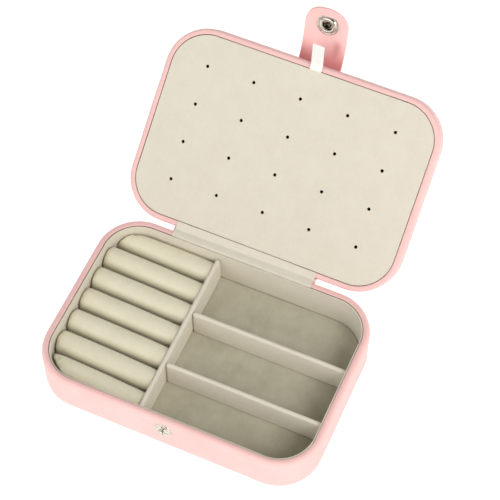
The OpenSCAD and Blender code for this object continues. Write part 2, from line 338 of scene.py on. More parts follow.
def lathe(name, profile, place, steps=64):
    """Turns a profile of (radius, height) round the local Z axis. It starts and ends on the axis
    or closes on itself."""
    points = []
    for r, z in profile:
        for k in range(steps):
            a = 2 * math.pi * k / steps
            points.append((r * math.cos(a), r * math.sin(a), z))
    closed = profile[0][0] > 0
    return add_mesh(name, points, tube_faces(len(profile), steps, closed), place)


def waver(obj, amount, size, seed, stretch=(1, 1, 1)):
    """Moves the surface in and out a little, as soft sheet over board does."""
    shift = Vector((seed * 3.7, seed * 1.3, seed * 2.9))
    scale = Vector(stretch) / (size * MM)
    for v in obj.data.vertices:
        v.co += v.normal * (noise.noise(v.co * scale + shift) * amount * MM)
    obj.data.update()


def mark(obj, name, values):
    """Writes a number from 0 to 1 on each point, which the materials read."""
    layer = obj.data.attributes.new(name, "FLOAT", "POINT")
    layer.data.foreach_set("value", np.clip(values, 0, 1))


def inset_of(points):
    """How far points lie inside the case's outline in plan."""
    x = np.abs(points[:, 0]) - (CASE_W / 2 - CORNER_R)
    y = np.abs(points[:, 1]) - (CASE_D / 2 - CORNER_R)
    corner = CORNER_R - np.hypot(x, y)
    return np.where((x > 0) & (y > 0), corner, CORNER_R - np.maximum(x, y))


def smooth(values, low, high):
    """0 below low, 1 above high, and an even rise between them."""
    t = np.clip((values - low) / (high - low), 0, 1)
    return t * t * (3 - 2 * t)


def matrix_of(origin, z_axis, x_axis=(1, 0, 0)):
    """The frame with that origin and Z axis, its X axis as near x_axis as it can be."""
    z = Vector(z_axis).normalized()
    x = Vector(x_axis)
    x = (x - z * x.dot(z)).normalized()
    m = Matrix((x, z.cross(x), z)).transposed().to_4x4()
    m.translation = Vector(origin)
    return m


# ---------- cloth ----------

# Cloth behaves badly at a few millimetres, so it runs on a copy that is this much larger.
CLOTH_SCALE = 30
CLOTH_FRAMES = 20


def remeshed(obj, voxel):
    """Gives obj an even mesh, so that cloth can stretch it anywhere."""
    modifier = obj.modifiers.new("even", "REMESH")
    modifier.mode = "VOXEL"
    modifier.voxel_size = voxel * MM
    apply_modifiers(obj)


def puffed(obj, pressure, cap):
    """Swells a closed skin as cloth round foam, moving no point further than cap."""
    rest = np.array([v.co for v in obj.data.vertices], float)
    copy = add_object(obj.name + "_cloth", obj.data.copy())
    copy.data.vertices.foreach_set("co", (rest * CLOTH_SCALE).ravel())
    cloth = copy.modifiers.new("cloth", "CLOTH")
    cloth.settings.quality = 5
    cloth.settings.use_pressure = True
    cloth.settings.uniform_pressure_force = pressure
    cloth.settings.effector_weights.gravity = 0
    cloth.point_cache.frame_start = 1
    cloth.point_cache.frame_end = CLOTH_FRAMES
    scene = bpy.context.scene
    for number in range(1, CLOTH_FRAMES + 1):
        scene.frame_set(number)
    depsgraph = bpy.context.evaluated_depsgraph_get()
    swollen = copy.evaluated_get(depsgraph).data
    moved = np.array([v.co for v in swollen.vertices], float) / CLOTH_SCALE
    scene.frame_set(1)
    bpy.data.objects.remove(copy)
    step = moved - rest
    length = np.linalg.norm(step, axis=1, keepdims=True)
    step *= np.minimum(1, cap * MM / np.maximum(length, 1e-12))
    obj.data.vertices.foreach_set("co", (rest + step).ravel())
    obj.data.update()


def softened(obj, rounds):
    """Evens out a mesh, which also rounds its edges."""
    bm = bmesh.new()
    bm.from_mesh(obj.data)
    for _ in range(rounds):
        bmesh.ops.smooth_vert(
            bm, verts=bm.verts, factor=0.5, use_axis_x=True, use_axis_y=True, use_axis_z=True
        )
    for face in bm.faces:
        face.smooth = True
    bm.to_mesh(obj.data)
    bm.free()


# ---------- materials ----------


class Nodes:
    """The nodes of a material or of the world."""

    def __init__(self, owner):
        owner.use_nodes = True
        self.tree = owner.node_tree

    def add(self, kind, inputs=None, **settings):
        """A node whose inputs are numbers, colours or other nodes' outputs."""
        node = self.tree.nodes.new(kind)
        for name, value in settings.items():
            setattr(node, name, value)
        for name, value in (inputs or {}).items():
            self.feed(node.inputs[name], value)
        return node

    def feed(self, socket, value):
        if isinstance(value, bpy.types.NodeSocket):
            self.tree.links.new(value, socket)
        else:
            socket.default_value = value

    def ramp(self, value, low, high, out_low=0.0, out_high=1.0):
        """Value from low to high, mapped to out_low to out_high."""
        inputs = {0: value, 1: low, 2: high, 3: out_low, 4: out_high}
        return self.add("ShaderNodeMapRange", inputs).outputs[0]

    def mix(self, factor, a, b):
        """Colour between a and b. Colours are linear."""
        node = self.add("ShaderNodeMix", {0: factor, 6: a, 7: b}, data_type="RGBA")
        return node.outputs[2]


class Shader(Nodes):
    """A node material round one Principled shader."""

    def __init__(self, name):
        self.material = bpy.data.materials.new(name)
        super().__init__(self.material)
        self.shader = self.tree.nodes["Principled BSDF"]
        self.where = self.add("ShaderNodeTexCoord").outputs["Object"]

    def fixed(self, **values):
        """Sets the shader's own sockets. An underscore stands for a space in a name."""
        for name, value in values.items():
            self.shader.inputs[name.replace("_", " ")].default_value = value

    def noise(self, size, detail=3, roughness=0.55, where=None):
        """Noise whose lumps measure about size millimetres."""
        inputs = {"Vector": where or self.where, "Scale": 1 / (size * MM)}
        inputs.update({"Detail": detail, "Roughness": roughness})
        return self.add("ShaderNodeTexNoise", inputs).outputs["Fac"]

    def stretched(self, x, y, z):
        """Object coordinates scaled along each axis, for streaks."""
        inputs = {"Vector": self.where, "Scale": (x, y, z)}
        return self.add("ShaderNodeMapping", inputs).outputs["Vector"]

    def cells(self, size, feature="SMOOTH_F1"):
        """Distance from the middles of cells that measure about size millimetres."""
        inputs = {"Vector": self.where, "Scale": 1 / (size * MM)}
        node = self.add("ShaderNodeTexVoronoi", inputs, feature=feature)
        return node.outputs["Distance"]

    def add_up(self, a, b, share=1.0):
        """a plus a share of b."""
        node = self.add("ShaderNodeMath", {0: b, 1: share, 2: a}, operation="MULTIPLY_ADD")
        return node.outputs[0]

    def bump(self, height, depth, strength=1.0):
        """Relief depth millimetres deep where height runs from 0 to 1."""
        inputs = {"Height": height, "Distance": depth * MM, "Strength": strength}
        node = self.add("ShaderNodeBump", inputs)
        self.feed(self.shader.inputs["Normal"], node.outputs["Normal"])

    def attribute(self, name):
        """What mark() wrote on the mesh, or 0 where it wrote nothing."""
        node = self.add("ShaderNodeAttribute", attribute_name=name)
        return node.outputs["Fac"]

    def colour(self, value):
        self.feed(self.shader.inputs["Base Color"], value)

    def roughness(self, value):
        self.feed(self.shader.inputs["Roughness"], value)


def linear(r, g, b):
    """A colour given as the eye sees it, 0 to 255, as the shaders want it."""
    parts = []
    for c in (r / 255, g / 255, b / 255):
        parts.append(c / 12.92 if c <= 0.04045 else ((c + 0.055) / 1.055) ** 2.4)
    return (*parts, 1)


def leather(name, light, dark, edge, deep):
    """Fine-grained coated leather: pebbled grain, faint cloudiness, a soft satin gloss. Points
    marked seam take a dark brown that is partly the glued turn's edge and partly painted crevice
    shade. Points marked with painted shade take the deep colour, which is painted shade."""
    s = Shader(name)
    s.fixed(IOR=1.46, Specular_IOR_Level=0.4)
    cloud = s.noise(28, detail=2)
    grain = s.cells(0.75)
    pores = s.noise(0.35, detail=2)
    tone = s.ramp(cloud, 0.35, 0.65, 0.0, 0.5)
    tone = s.add_up(tone, s.ramp(grain, 0.0, 0.6, 0.3, 0.0))
    # Painted shade: the deep colour goes where the shade mark is set.
    painted_shade = s.mix(s.attribute("painted_shade"), s.mix(tone, light, dark), deep)
    # The seam colour is partly the glued turn's dark edge and partly painted crevice shade.
    s.colour(s.mix(s.attribute("seam"), painted_shade, edge))
    s.roughness(s.ramp(s.noise(4), 0.3, 0.7, 0.42, 0.56))
    s.bump(s.add_up(grain, pores, 0.5), 0.05, 0.35)
    return s.material


def velvet(name, light, dark, deep, sheen=0.35, patches=0.25):
    """Short pile: speckled tips, soft patches where the nap leans, a pale sheen at the edges.
    Points marked with painted shade take the deep colour, which is painted shade."""
    s = Shader(name)
    s.fixed(Sheen_Weight=sheen, Sheen_Roughness=0.45, Sheen_Tint=(1, 0.98, 0.93, 1))
    s.fixed(Specular_IOR_Level=0.1)
    nap = s.noise(11, detail=4, roughness=0.6)
    tufts = s.noise(0.45, detail=3, roughness=0.7)
    brushed = s.noise(2.2, detail=2, where=s.stretched(1, 0.35, 1))
    tone = s.ramp(nap, 0.3, 0.7, 0.0, patches)
    tone = s.add_up(tone, s.ramp(tufts, 0.35, 0.7, -0.15, 0.35))
    tone = s.add_up(tone, s.ramp(brushed, 0.3, 0.7, -0.05, 0.08))
    # Painted shade: the deep colour goes where the shade mark is set.
    s.colour(s.mix(s.attribute("painted_shade"), s.mix(tone, light, dark), deep))
    s.roughness(s.ramp(tufts, 0.3, 0.7, 0.8, 0.98))
    s.bump(s.add_up(tufts, brushed, 0.4), 0.12, 0.3)
    return s.material


def satin(name, light, dark):
    """Woven ribbon: fine ribs across it and a soft gloss along the threads."""
    s = Shader(name)
    s.fixed(Sheen_Weight=0.2, Sheen_Roughness=0.3)
    ribs = s.add(
        "ShaderNodeTexWave",
        {"Vector": s.where, "Scale": 1 / (0.45 * MM) / (2 * math.pi), "Distortion": 0.4},
        bands_direction="X",
    ).outputs["Fac"]
    threads = s.noise(0.3, where=s.stretched(1, 0.08, 0.08))
    s.colour(s.mix(s.ramp(s.add_up(threads, ribs, 0.2), 0.2, 1.0), light, dark))
    s.roughness(s.ramp(threads, 0.3, 0.7, 0.35, 0.5))
    s.bump(s.add_up(threads, ribs, 0.5), 0.04, 0.3)
    return s.material


def nickel(name, light, dark):
    """Bright plating with faint rubbing marks and a little tarnish."""
    s = Shader(name)
    s.fixed(Metallic=1.0)
    tarnish = s.noise(1.6, detail=4)
    rubs = s.noise(0.25, where=s.stretched(1, 0.2, 1))
    s.colour(s.mix(s.ramp(tarnish, 0.4, 0.75), light, dark))
    s.roughness(s.ramp(rubs, 0.3, 0.7, 0.1, 0.22))
    s.bump(rubs, 0.01, 0.15)
    return s.material


def board(name, light, dark):
    """Grey bookbinder's board: matted fibres and darker flecks."""
    s = Shader(name)
    fibres = s.noise(0.6, detail=5, roughness=0.7, where=s.stretched(1, 0.4, 1))
    flecks = s.ramp(s.cells(1.8, "F1"), 0.05, 0.25, 0.6, 0.0)
    s.colour(s.mix(s.add_up(flecks, fibres, 0.6), light, dark))
    s.roughness(s.ramp(fibres, 0.3, 0.7, 0.8, 0.95))
    s.bump(fibres, 0.08, 0.3)
    return s.material


def foam(name, light, dark):
    """Soft foam: open cells."""
    s = Shader(name)
    pores = s.cells(0.9, "F1")
    s.colour(s.mix(s.ramp(pores, 0.0, 0.5), dark, light))
    s.roughness(s.ramp(pores, 0.0, 0.6, 0.95, 0.8))
    s.bump(pores, 0.2, 0.5)
    return s.material


# The brown is partly the glued seam's own dark edge and partly painted crevice shade; the two rose
# colours are painted shade on the leather.
SEAM_SHADE_BROWN = linear(120, 72, 62)
SHADE_PINK = linear(222, 186, 182)
SHADE_ROSE = linear(209, 132, 133)
PINK = leather("pink_leather", linear(250, 202, 197), linear(242, 187, 182), SEAM_SHADE_BROWN, SHADE_PINK)
LINING_PINK = leather(
    "pink_leather_inner", linear(252, 207, 203), linear(246, 193, 189), SEAM_SHADE_BROWN, SHADE_ROSE
)
# Each velvet's last colour is painted shade, used where the shade mark is set.
VELVET = velvet("beige_velvet", linear(220, 213, 197), linear(203, 196, 178), linear(122, 116, 92))
ROLL_VELVET = velvet(
    "roll_velvet", linear(226, 220, 196), linear(210, 203, 176), linear(128, 122, 90), 0.5, 0.35
)
# A darker velvet for the floor, the lid lining and the tape: partly the floor cloth's own tone and
# partly painted shade.
FLOOR_VELVET = velvet(
    "floor_velvet", linear(195, 190, 171), linear(172, 166, 146), linear(112, 106, 84), patches=0.7
)
SATIN = satin("white_satin", linear(244, 244, 240), linear(229, 229, 224))
NICKEL = nickel("bright_nickel", linear(226, 221, 210), linear(166, 158, 146))
# Near-black nickel, used only for painted shade inside the snap cap's barrel.
SHADE_NICKEL = nickel("shade_nickel", linear(92, 84, 72), linear(52, 46, 38))
BOARD = board("grey_board", linear(176, 172, 162), linear(128, 124, 114))
FOAM = foam("white_foam", linear(240, 238, 228), linear(198, 194, 182))

SLOTS = {
    "leather": (PINK, LINING_PINK),
    "velvet": (VELVET, ROLL_VELVET, FLOOR_VELVET),
    "ribbon": (SATIN,),
    "nickel": (NICKEL, SHADE_NICKEL),
    "board": (BOARD,),
    "foam": (FOAM,),
}


def slot_of(material):
    """The record's slot that a material belongs to."""
    return next(name for name, materials in SLOTS.items() if material in materials)


def paint(obj, material):
    obj.data.materials.clear()
    obj.data.materials.append(material)
    for polygon in obj.data.polygons:
        polygon.material_index = 0


def finish_piece(obj, material, body, *nodes):
    """Paints a piece, makes it ride on a body and stand for CAD nodes."""
    paint(obj, material)
    slot_of(material)
    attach(obj, body)
    if nodes:
        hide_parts(*nodes)


def finish_blend(obj, material, bodies, start, end, *nodes):
    """Paints a piece that crosses a joint, bakes its place into its mesh and hides the CAD nodes it
    stands for. The two points in millimetres are not used.
    """
    paint(obj, material)
    slot_of(material)
    Vector(start) * MM
    Vector(end) * MM
    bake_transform(obj)
    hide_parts(*nodes)


# ---------- camera, light, floor ----------

CAMERA_TARGET = (-0.41, 60.4, 30.75)
CAMERA_DISTANCE = 977.7
CAMERA_AZIMUTH = 23.68
CAMERA_ELEVATION = 57.88
CAMERA_ROLL = -0.19
CAMERA_LENS = 124.2
SENSOR_WIDTH = 36


def add_camera():
    az, el = math.radians(CAMERA_AZIMUTH), math.radians(CAMERA_ELEVATION)
    forward = Vector((-math.sin(az) * math.cos(el), math.cos(az) * math.cos(el), -math.sin(el)))
    right = Vector((math.cos(az), math.sin(az), 0))
    up = right.cross(forward)
    roll = math.radians(CAMERA_ROLL)
    tilted_up = up * math.cos(roll) + right * math.sin(roll)
    camera = add_object("camera", bpy.data.cameras.new("camera"))
    camera.data.lens = CAMERA_LENS
    camera.data.sensor_width = SENSOR_WIDTH
    camera.data.clip_start = 0.01
    camera.matrix_world = matrix_of(
        (Vector(CAMERA_TARGET) - forward * CAMERA_DISTANCE) * MM,
        -forward,
        tilted_up.cross(-forward),
    )
    bpy.context.scene.camera = camera


def add_light(name, direction, distance, size, power, colour, mirrored=True):
    """A soft square light that shines on the case from a direction. Sizes are in metres."""
    data = bpy.data.lights.new(name, "AREA")
    data.size = size
    data.energy = power
    data.color = colour
    light = add_object(name, data)
    aim = Vector(CAMERA_TARGET) * MM
    light.matrix_world = matrix_of(aim + Vector(direction).normalized() * distance, direction)
    light.visible_glossy = mirrored


def add_world(top, horizon, dark, dark_side, fade_range, strength):
    """A pale room, cooler overhead, with one dim side that the metal mirrors. fade_range is the
    cosine of the angle from that side, from where it starts to fade to full."""
    world = bpy.data.worlds.new("studio")
    bpy.context.scene.world = world
    s = Nodes(world)
    background = s.tree.nodes["Background"]
    where = s.add("ShaderNodeTexCoord").outputs["Generated"]
    height = s.add("ShaderNodeSeparateXYZ", {0: where}).outputs["Z"]
    room = s.mix(height, (*horizon, 1), (*top, 1))
    inputs = {0: where, 1: Vector(dark_side).normalized()}
    along = s.add("ShaderNodeVectorMath", inputs, operation="DOT_PRODUCT").outputs["Value"]
    s.feed(background.inputs["Color"], s.mix(s.ramp(along, *fade_range), room, (*dark, 1)))
    background.inputs["Strength"].default_value = strength


def add_floor(albedo, glow):
    """A white floor that glows enough to look as pale as the room."""
    half = 3.0
    mesh = bpy.data.meshes.new("studio_floor")
    corners = [(-half, -half, 0), (half, -half, 0), (half, half, 0), (-half, half, 0)]
    mesh.from_pydata(corners, [], [(0, 1, 2, 3)])
    floor = add_object("studio_floor", mesh)
    s = Shader("studio_white")
    s.fixed(Roughness=0.9, Specular_IOR_Level=0.0, Emission_Strength=glow)
    s.shader.inputs["Emission Color"].default_value = (1, 1, 1, 1)
    s.shader.inputs["Base Color"].default_value = (albedo, albedo, albedo, 1)
    mesh.materials.append(s.material)


add_camera()
add_world(
    top=(0.62, 0.63, 0.64),
    horizon=(1.0, 0.99, 0.97),
    dark=(0.02, 0.02, 0.02),
    dark_side=(0.42, -0.42, 0.8),
    fade_range=(0.87, 0.95),
    strength=0.57,
)
add_light("key", (0.62, -0.3, 0.8), 1.9, 0.9, 16.7, (1.0, 0.985, 0.96), mirrored=False)
add_light("fill", (-0.9, -0.5, 0.7), 2.2, 1.6, 7.5, (0.98, 0.99, 1.0))
add_light("side", (1.0, -0.2, 0.42), 1.9, 0.9, 6, (1.0, 0.99, 0.97))
add_light("front", (-0.1, -1.0, 0.45), 2.0, 1.4, 12, (1.0, 0.99, 0.98))
add_floor(albedo=0.25, glow=0.95)
bpy.context.scene.view_settings.view_transform = "Standard"

# ---------- base ----------

INSIDE_Z = node_box("floor_card")[1].z
LINER_LOW = node_box("wall_liner")[0].z
LINER_TOP = node_box("wall_liner")[1].z
LINER_OUT = CASE_W / 2 - node_box("wall_liner")[1].x
LINER_T = 0.6
SEAM_GAP = 0.04
INSIDE_INSET = LINER_OUT + LINER_T
TURN_IN = 4
TURN_UNDER = 11
PROFILE_STEP = 2.5


def base_leather():
    """Leather over the wall: inside turn, domed rim, wall, rounded foot and the turn underneath."""
    under = node_box("base_skin")[0].z
    inner = BASE_RIM - SKIN_T
    corners = [
        (BASE_RIM, BASE_H - TURN_IN, 0.2),
        (BASE_RIM, BASE_H - 0.55, 0.5),
        (3.3, BASE_H, 1.6),
        (0, BASE_H, 2.1),
        (0, under, 2.8),
        (TURN_UNDER, under, 0.3),
        (TURN_UNDER, under + SKIN_T, 0.3),
        (SKIN_T, under + SKIN_T, 2.2),
        (SKIN_T, BASE_H - SKIN_T, 1.0),
        (inner, BASE_H - SKIN_T, 0.2),
        (inner, BASE_H - TURN_IN, 0.2),
    ]
    profile = fillet(corners)
    obj = sweep("base_leather", refine(profile, PROFILE_STEP))
    points = points_of(obj)
    inset = inset_of(points)
    inner_side = smooth(inset, BASE_RIM - 0.3, BASE_RIM - 0.05)
    # The seam mark is a quarter strength all round as the glued turn's dark edge; the rest, strongest
    # at the back and left, is painted crevice shade.
    at_back_or_left = np.maximum(smooth(points[:, 1], -5, 40), smooth(-points[:, 0], 30, 75))
    glued = 0.25 + 0.75 * at_back_or_left
    mark(obj, "seam", inner_side * glued * smooth(BASE_H - points[:, 2], 0.1, 0.4))
    # Painted shade over the inner half of the rim and both turns.
    mark(obj, "painted_shade", 0.6 * smooth(inset, 1.2, 2.4))
    waver(obj, 0.1, 22, 1)
    finish_piece(obj, PINK, "base", "base_skin")


def case_sheet(name, node, edge, fractions=FACE_RINGS):
    """A flat sheet of the case's outline, in the place of a CAD node."""
    low, high = node_box(node)
    inset = CASE_W / 2 - high.x
    levels = [(inset + i, z) for i, z in edge_levels(low.z, high.z, edge)]
    return stack(name, case_outline, case_core, levels, fractions)


def base_underside():
    """Leather cover glued over the turn underneath."""
    obj = case_sheet("base_underside", "base_bottom_cover", 0.25)
    finish_piece(obj, PINK, "base", "base_bottom_cover")


def liner_band():
    """Velvet-covered band inside the wall, with a soft folded top edge."""
    corners = [
        (LINER_OUT, LINER_LOW, 0.1),
        (LINER_OUT, LINER_TOP - 3, 0.3),
        (LINER_OUT + SEAM_GAP, LINER_TOP - 1.5, 0.3),
        (LINER_OUT + SEAM_GAP, LINER_TOP, 0.12),
        (INSIDE_INSET, LINER_TOP, 0.17),
        (INSIDE_INSET, INSIDE_Z + 1.0, 0),
        (INSIDE_INSET, INSIDE_Z + 0.3, 0),
        (INSIDE_INSET, LINER_LOW, 0.1),
    ]
    profile = fillet(corners)
    obj = sweep("liner_band", refine(profile, PROFILE_STEP))
    # Painted shade along the foot of the band, where it meets the floor.
    mark(obj, "painted_shade", 0.4 * (1 - smooth(points_of(obj)[:, 2], INSIDE_Z + 0.3, INSIDE_Z + 0.9)))
    waver(obj, 0.08, 15, 2)
    finish_piece(obj, VELVET, "base", "wall_liner")


def floor_velvet():
    """Velvet-covered card in the bottom, with painted shadow of the walls, darkest in its front right
    corner.
    """
    fractions = tuple(k / 24 for k in range(24))
    obj = case_sheet("floor_velvet", "floor_card", 0.4, fractions)
    points = points_of(obj)
    # Painted shadow of the front and right walls.
    near_wall = 1 - smooth(inset_of(points), INSIDE_INSET, INSIDE_INSET + 36)
    front_right = smooth(points[:, 0] - points[:, 1], 20, 110)
    mark(obj, "painted_shade", 0.42 * near_wall * front_right)
    waver(obj, 0.12, 18, 3)
    finish_piece(obj, FLOOR_VELVET, "base", "floor_card")


# ---------- ring rolls ----------

ROLL_COUNT = sum(name.startswith("ring_roll_") for name in frame["nodes"])
ROLL_SWELL = 0.5
ROLL_VOXEL = 0.8
ROLL_SLANT = -0.035
ROLL_GAIN = 0.12
ROLL_END_GAP = 0.9
ROLL_OVERRUN = 2.5
ROLL_COLUMNS = 30


def roll_middle(n):
    """Where a roll's middle lies in Y. The case cuts the end rolls, so rolls 3 and 4 tell."""
    inner = [sum(node_box(f"ring_roll_{k}")[side].y for side in (0, 1)) / 2 for k in (3, 4)]
    return inner[1] + (inner[0] - inner[1]) * (4 - n)


def wall_x(y, inset):
    """Where the left wall's line, moved in by inset, runs at y."""
    cy = CASE_D / 2 - CORNER_R
    cx = CASE_W / 2 - CORNER_R
    r = CORNER_R - inset
    beyond = min(max(abs(y) - cy, 0), r)
    return -cx - math.sqrt(r * r - beyond * beyond)


def cut_flat(obj, x):
    """Cuts off what lies right of x and closes the end with one face."""
    bm = bmesh.new()
    bm.from_mesh(obj.data)
    parts = list(bm.verts) + list(bm.edges) + list(bm.faces)
    place = {"plane_co": (x * MM, 0, 0), "plane_no": (1, 0, 0), "clear_outer": True}
    cut = bmesh.ops.bisect_plane(bm, geom=parts, **place)["geom_cut"]
    edges = [e for e in cut if isinstance(e, bmesh.types.BMEdge)]
    bmesh.ops.holes_fill(bm, edges=edges, sides=0)
    bm.to_mesh(obj.data)
    bm.free()


def mark_roll(obj, middle, centre_z):
    """Painted shade low on the roll's front side and round its left end."""
    points = points_of(obj)
    slanted = middle + ROLL_SLANT * (points[:, 0] + CASE_W / 4)
    turn = np.degrees(np.arctan2(points[:, 2] - centre_z, points[:, 1] - slanted))
    front = smooth(turn, 125, 175)
    end = 1 - smooth(points[:, 0] - points[:, 0].min(), 0.5, 4)
    mark(obj, "painted_shade", np.clip(0.6 * front + 0.12 * end, 0, 0.7))


def ring_roll(n):
    """Foam rod in velvet: a round back and a flat foot. Its left end follows the wall's curve and
    its right end is cut flat against the long divider."""
    low, high = node_box(f"ring_roll_{n}")
    middle = roll_middle(n)
    full = node_box("ring_roll_4")
    r = (full[1].y - full[0].y) / 2 - ROLL_SWELL + ROLL_GAIN
    centre_z = full[1].z - r - ROLL_SWELL
    foot = low.z + 0.1
    sink = math.asin((foot - centre_z) / r)
    arc = [sink + (math.pi - 2 * sink) * k / 24 for k in range(25)]
    section = [(middle + r * math.cos(a), centre_z + r * math.sin(a)) for a in arc]
    across = section[-1][0] - section[0][0]
    section += [(section[-1][0] - across * k / 8, foot) for k in range(1, 8)]
    reach = CASE_D / 2 - INSIDE_INSET - 0.5
    right = high.x + ROLL_OVERRUN
    points = []
    for k in range(ROLL_COLUMNS + 1):
        for y, z in section:
            left = wall_x(y, INSIDE_INSET + ROLL_END_GAP)
            x = left + (right - left) * k / ROLL_COLUMNS
            slanted = y + ROLL_SLANT * (x - high.x / 2 + CASE_W / 4)
            points.append((x, min(max(slanted, -reach), reach), z))
    obj = add_mesh(f"roll_{n}", points, rod_faces(ROLL_COLUMNS + 1, len(section)))
    remeshed(obj, ROLL_VOXEL)
    softened(obj, 3)
    puffed(obj, pressure=4, cap=ROLL_SWELL)
    softened(obj, 1)
    waver(obj, 0.12, 16, 10 + n)
    cut_flat(obj, high.x)
    mark_roll(obj, middle, centre_z)
    finish_piece(obj, ROLL_VELVET, "base", f"ring_roll_{n}")


# ---------- dividers ----------


def divider(name, node, body, along_y, corners):
    """Velvet-wrapped board on edge, its top round. Corners are the radii of its top corners, the
    back or right one first."""
    low, high = node_box(node)
    size = high - low
    thickness, length = (size.x, size.y) if along_y else (size.y, size.x)
    outline = rounded_rect(length, size.z, (*corners, 0.4, 0.4), step=2.5, corner_steps=8)
    axes = ((1, 0, 0), (0, 1, 0)) if along_y else ((0, -1, 0), (1, 0, 0))
    place = matrix_of((low + high) / 2, *axes)
    fractions = (0, 0.2, 0.4, 0.6, 0.75, 0.85, 0.92, 0.97)
    obj = plate(name, outline, thickness, thickness * 0.46, place=place, fractions=fractions)
    # Painted shade along the foot, where the board meets the floor.
    mark(obj, "painted_shade", 0.7 * (1 - smooth(points_of(obj)[:, 2], low.z + 0.2, low.z + 0.8)))
    waver(obj, 0.14, 11, len(node))
    finish_piece(obj, VELVET, body, node)


# ---------- hinge ----------

HINGE_LOW, HINGE_HIGH = node_box("hinge_leather")
HINGE_MIDDLE = (HINGE_LOW.x + HINGE_HIGH.x) / 2
HINGE_W = HINGE_HIGH.x - HINGE_LOW.x
HINGE_BLEND = ((0, HINGE_Y - 1.0, HINGE_Z), (0, HINGE_Y + 1.0, HINGE_Z))


def open_yz(v, w):
    """Where a point of the lid lies: v from its back edge, w up from its rim."""
    p = LID @ Vector((0, CASE_D / 2 - v, w))
    return p.y, p.z


def crossing(name, corners, width, thickness, edge, step=1.2):
    """A strip that follows a path from the base to the lid."""
    path = bent_path(corners)
    outline = rounded_rect(path.length, width, (0.5,) * 4, step=step, corner_steps=4)

    def carry(points):
        y, z = path.carry(points[:, 0] + path.length / 2, points[:, 2])
        return np.column_stack((HINGE_MIDDLE + points[:, 1], y, z))

    fractions = (0, 0.12, 0.3, 0.5, 0.7, 0.85, 0.95)
    return plate(name, outline, thickness, edge, carry=carry, fractions=fractions)


def hinge_web():
    """Leather between the two back walls."""
    out = 0.4
    drop = 7.6
    corners = [
        (CASE_D / 2 + out, BASE_H - drop, 0),
        (CASE_D / 2 + out, BASE_H - 0.9, 1.2),
        (*open_yz(-out, 1.2), 1.2),
        (*open_yz(-out, drop), 0),
    ]
    obj = crossing("hinge_web", corners, HINGE_W, 0.7, 0.3)
    finish_blend(obj, PINK, ("base", "lid"), *HINGE_BLEND, "hinge_leather")


def hinge_velvet():
    """Velvet strip over both rims, sinking a little in the middle."""
    above_base = 0.31
    above_lid = 0.33
    corners = [
        (CASE_D / 2 - BASE_RIM - 0.05, BASE_H - 0.35, 0),
        (CASE_D / 2 - BASE_RIM + 0.1, BASE_H + above_base, 0.5),
        (CASE_D / 2 - 0.4, BASE_H + above_base, 1.5),
        (HINGE_Y, HINGE_Z - 0.45, 1.4),
        (*open_yz(0.5, -above_lid), 1.5),
        (*open_yz(LID_RIM + 0.05, -above_lid), 0),
    ]
    obj = crossing("hinge_velvet", corners, HINGE_W - 2, 0.5, 0.22, step=0.8)
    waver(obj, 0.1, 9, 6)
    waver(obj, 0.16, 2.2, 7, stretch=(0.06, 1, 1))
    finish_blend(obj, VELVET, ("base", "lid"), *HINGE_BLEND, "hinge_lining")


# ---------- lid ----------


def lid_leather():
    """Leather over the lid: the rim's turn, the wall and the crowned top. Its rows run from the
    middle of the top's underside round the rim to the middle of the top."""
    crown = 0.5
    edge_z = LID_H - crown
    edge_r = 2.9
    top_edge = 9.0
    turn_in = 2.0
    skin = [
        (top_edge, LID_H - SKIN_T - crown, 0),
        (SKIN_T, LID_H - SKIN_T - crown, edge_r - SKIN_T),
        (SKIN_T, SKIN_T, 0.8),
        (LID_RIM - SKIN_T, SKIN_T, 0.15),
        (LID_RIM - SKIN_T, turn_in, 0.2),
        (LID_RIM, turn_in, 0.2),
        (LID_RIM, 0.35, 0.35),
        (LID_RIM - 0.6, 0, 0.8),
        (0, 0, 1.6),
        (0, edge_z, edge_r),
        (top_edge, edge_z, 0),
    ]
    profile = refine(fillet(skin, closed=False), PROFILE_STEP, closed=False)
    edge = case_outline(top_edge)

    def crowned(f, z):
        ring = case_core(edge) * (1 - f) + edge * f
        return ring, z + crown * math.sin(min(1, (1 - f) * 2.5) * math.pi / 2)

    steps = [k / 12 for k in range(12)]
    rows = [crowned(f, LID_H - SKIN_T - crown) for f in steps]
    rows += [(case_outline(inset), z) for inset, z in profile]
    rows += [crowned(f, edge_z) for f in reversed(steps)]
    points = [(x, y, z) for ring, z in rows for x, y in ring]
    obj = add_mesh("lid_leather", points, tube_faces(len(rows), len(edge)), LID)
    points = points_of(obj, LID)
    # The seam mark is partly the glued turn's dark edge and partly painted crevice shade.
    inner_side = smooth(inset_of(points), LID_RIM - 0.3, LID_RIM - 0.05)
    near_rim = 1 - smooth(points[:, 2], 2.5, 3.5)
    mark(obj, "seam", inner_side * near_rim * smooth(points[:, 2], 0.05, 0.3))
    # Painted shade over the rim, its turn and the foot of the wall.
    mark(obj, "painted_shade", 0.45 * near_rim)
    waver(obj, 0.12, 24, 4)
    finish_piece(obj, PINK, "lid", "lid_skin")


def lid_velvet():
    """Velvet lining of the lid with the ledge that the panel closes on."""
    low, high = node_box("lid_liner", LID)
    inset = CASE_W / 2 - high.x
    ledge = 1.5
    lining = 0.7
    floor_low = high.z - lining
    levels = [
        (inset + ledge, floor_low),
        (inset + ledge, low.z + 0.5),
        (inset + ledge - 0.2, low.z + 0.12),
        (inset + ledge - 0.6, low.z),
        (inset + 0.4, low.z),
        (inset, low.z + 0.3),
        (inset, high.z),
    ]
    obj = stack("lid_velvet", case_outline, case_core, levels, FACE_RINGS, LID)
    finish_piece(obj, FLOOR_VELVET, "lid", "lid_liner")


# ---------- earring panel ----------

HOLE_COLUMNS = 5
HOLE_ROWS = 4
HOLE_DX = 28.5
HOLE_DY = 22.5
HOLE_D = 1.9
HOLE_MIDDLE = (-0.85, CASE_D / 2 - 58.5)


